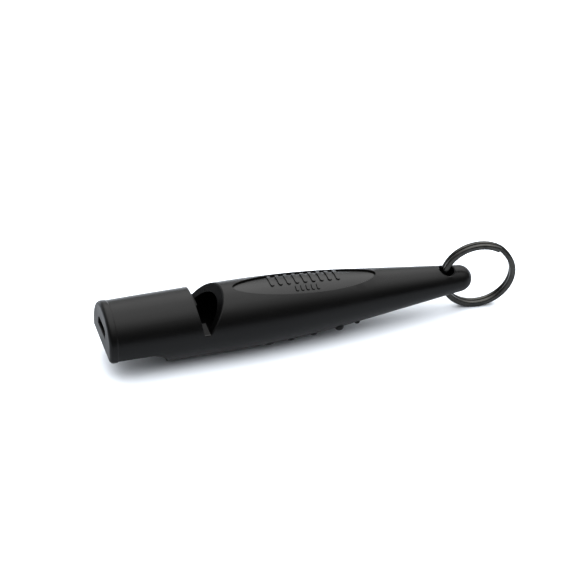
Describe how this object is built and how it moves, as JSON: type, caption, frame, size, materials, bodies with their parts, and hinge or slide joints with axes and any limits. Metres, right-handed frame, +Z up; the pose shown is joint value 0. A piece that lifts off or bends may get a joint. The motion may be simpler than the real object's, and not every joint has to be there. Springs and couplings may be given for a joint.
{
  "type": "training whistle",
  "caption": "Black moulded dog-training whistle with a flat-bottomed mouthpiece, an open sound window, a tapered tail and a swivelling split ring.",
  "frame": {"origin": "where the barrel's axis crosses the flat front face of the mouth end", "axes": "+X along the barrel from the mouth end to the tail, +Z up through the sound window, -Y towards the flank with the grip pips"},
  "size_m": [0.0904, 0.0146, 0.0164],
  "materials": {
    "body_plastic": "satin black, fine moulded surface",
    "plug_plastic": "satin black, fine moulded surface",
    "ring_steel": "dark nickel plate, smooth"
  },
  "bodies": {
    "whistle": {"whistle_body": "body_plastic", "fipple_plug": "plug_plastic"},
    "ring": {"split_ring": "ring_steel"}
  },
  "joints": [
    {"name": "ring_swivel", "type": "hinge", "parent": "whistle", "child": "ring", "pos_m": [0.0752, 0, 0], "axis": [0, 0, 1], "range_deg": [-148, 161]}
  ]
}
